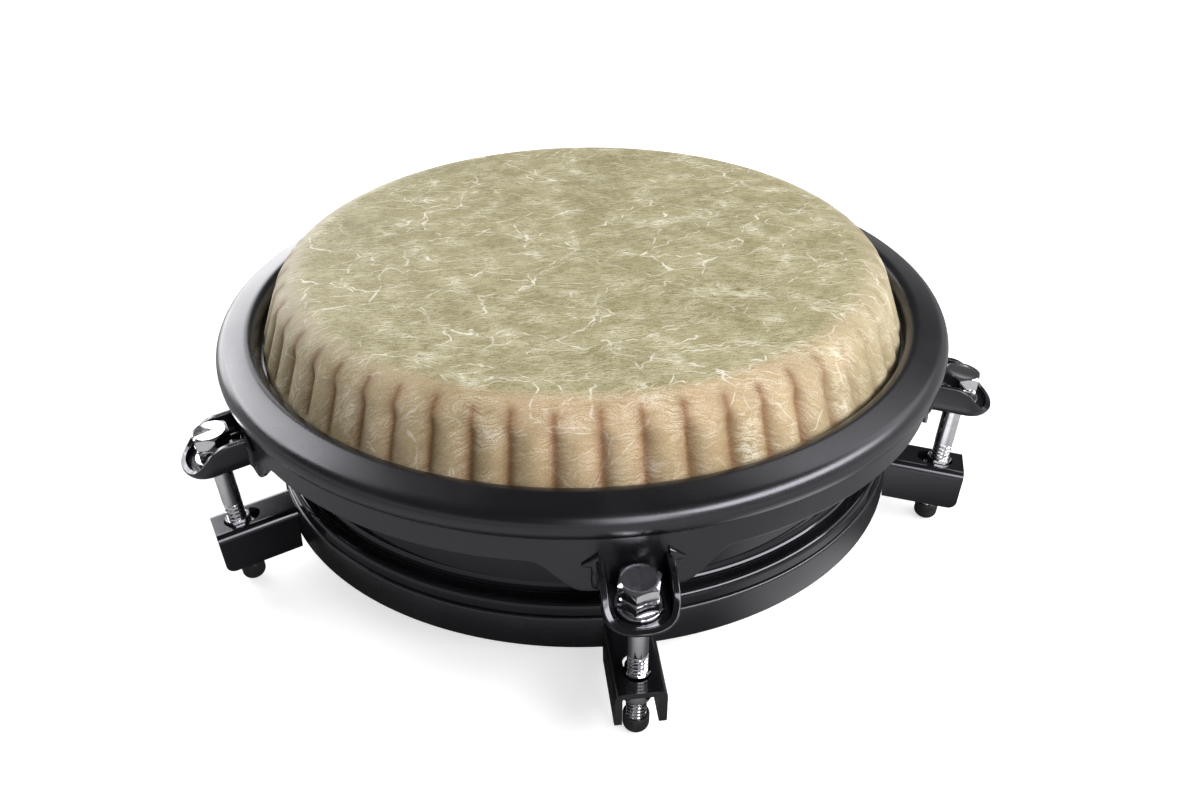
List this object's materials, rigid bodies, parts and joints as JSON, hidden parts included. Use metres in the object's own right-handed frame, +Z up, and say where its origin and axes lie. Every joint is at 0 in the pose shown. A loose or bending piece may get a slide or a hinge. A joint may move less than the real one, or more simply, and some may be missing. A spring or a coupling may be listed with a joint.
{
  "type": "travel conga",
  "caption": "Shallow hand drum: a pleated film head drawn over a short shell by a scalloped tuning hoop, leaning hex bolts and slotted brackets on a bottom ring, standing on rubber caps.",
  "frame": {"origin": "on the drum's axis, on the surface that its rubber end caps stand on", "axes": "+Z up the drum's axis towards the head, -Y from the axis towards the first lug"},
  "size_m": [0.3908, 0.3852, 0.1409],
  "materials": {
    "satin_black": "satin black powder coat",
    "gloss_black": "gloss black",
    "fibre_film": "matt film with pale fibres",
    "zinc_plate": "plain",
    "chrome": "bright chrome plate",
    "rubber": "moulded"
  },
  "bodies": {
    "drum_body": {"shell": "gloss_black", "bottom_ring": "satin_black", "drum_head": "fibre_film", "flesh_hoop": "zinc_plate", "bracket_1": "satin_black", "bracket_2": "satin_black", "bracket_3": "satin_black", "bracket_4": "satin_black", "bracket_5": "satin_black"},
    "tuning_hoop": {"counterhoop": "satin_black", "ear_1": "satin_black", "ear_2": "satin_black", "ear_3": "satin_black", "ear_4": "satin_black", "ear_5": "satin_black", "washer_1": "chrome", "washer_2": "chrome", "washer_3": "chrome", "washer_4": "chrome", "washer_5": "chrome"},
    "bolt_1": {"tension_bolt_1": "chrome", "end_cap_1": "rubber"},
    "nut_1": {"swivel_nut_1": "chrome"},
    "bolt_2": {"tension_bolt_2": "chrome", "end_cap_2": "rubber"},
    "nut_2": {"swivel_nut_2": "chrome"},
    "bolt_3": {"tension_bolt_3": "chrome", "end_cap_3": "rubber"},
    "nut_3": {"swivel_nut_3": "chrome"},
    "bolt_4": {"tension_bolt_4": "chrome", "end_cap_4": "rubber"},
    "nut_4": {"swivel_nut_4": "chrome"},
    "bolt_5": {"tension_bolt_5": "chrome", "end_cap_5": "rubber"},
    "nut_5": {"swivel_nut_5": "chrome"}
  },
  "joints": [
    {"name": "hoop_slide", "type": "slide", "parent": "drum_body", "child": "tuning_hoop", "axis": [0, 0, 1], "range_m": [0, 0.01]},
    {"name": "bolt_1_turn", "type": "hinge", "parent": "tuning_hoop", "child": "bolt_1", "pos_m": [0, -0.1837, 0.0357], "axis": [0, -0.1114, 0.9938], "range_deg": [0, 2870]},
    {"name": "nut_1_shift", "type": "slide", "parent": "drum_body", "child": "nut_1", "axis": [0, 0.9938, 0.1114], "range_m": [0, 0.0012]},
    {"name": "bolt_2_turn", "type": "hinge", "parent": "tuning_hoop", "child": "bolt_2", "pos_m": [0.17471, -0.05677, 0.0357], "axis": [0.106, -0.0344, 0.9938], "range_deg": [0, 2870]},
    {"name": "nut_2_shift", "type": "slide", "parent": "drum_body", "child": "nut_2", "axis": [-0.9451, 0.3071, 0.1114], "range_m": [0, 0.0012]},
    {"name": "bolt_3_turn", "type": "hinge", "parent": "tuning_hoop", "child": "bolt_3", "pos_m": [0.10798, 0.14862, 0.0357], "axis": [0.0655, 0.0902, 0.9938], "range_deg": [0, 2870]},
    {"name": "nut_3_shift", "type": "slide", "parent": "drum_body", "child": "nut_3", "axis": [-0.5841, -0.804, 0.1114], "range_m": [0, 0.0012]},
    {"name": "bolt_4_turn", "type": "hinge", "parent": "tuning_hoop", "child": "bolt_4", "pos_m": [-0.10798, 0.14862, 0.0357], "axis": [-0.0655, 0.0902, 0.9938], "range_deg": [0, 2870]},
    {"name": "nut_4_shift", "type": "slide", "parent": "drum_body", "child": "nut_4", "axis": [0.5841, -0.804, 0.1114], "range_m": [0, 0.0012]},
    {"name": "bolt_5_turn", "type": "hinge", "parent": "tuning_hoop", "child": "bolt_5", "pos_m": [-0.17471, -0.05677, 0.0357], "axis": [-0.106, -0.0344, 0.9938], "range_deg": [0, 2870]},
    {"name": "nut_5_shift", "type": "slide", "parent": "drum_body", "child": "nut_5", "axis": [0.9451, 0.3071, 0.1114], "range_m": [0, 0.0012]}
  ],
  "couplings": [
    {"joint": "bolt_1_turn", "follows": "hoop_slide", "rad_per_m": 4995.2},
    {"joint": "nut_1_shift", "follows": "hoop_slide", "ratio": 0.11144},
    {"joint": "bolt_2_turn", "follows": "hoop_slide", "rad_per_m": 4995.2},
    {"joint": "nut_2_shift", "follows": "hoop_slide", "ratio": 0.11144},
    {"joint": "bolt_3_turn", "follows": "hoop_slide", "rad_per_m": 4995.2},
    {"joint": "nut_3_shift", "follows": "hoop_slide", "ratio": 0.11144},
    {"joint": "bolt_4_turn", "follows": "hoop_slide", "rad_per_m": 4995.2},
    {"joint": "nut_4_shift", "follows": "hoop_slide", "ratio": 0.11144},
    {"joint": "bolt_5_turn", "follows": "hoop_slide", "rad_per_m": 4995.2},
    {"joint": "nut_5_shift", "follows": "hoop_slide", "ratio": 0.11144}
  ]
}
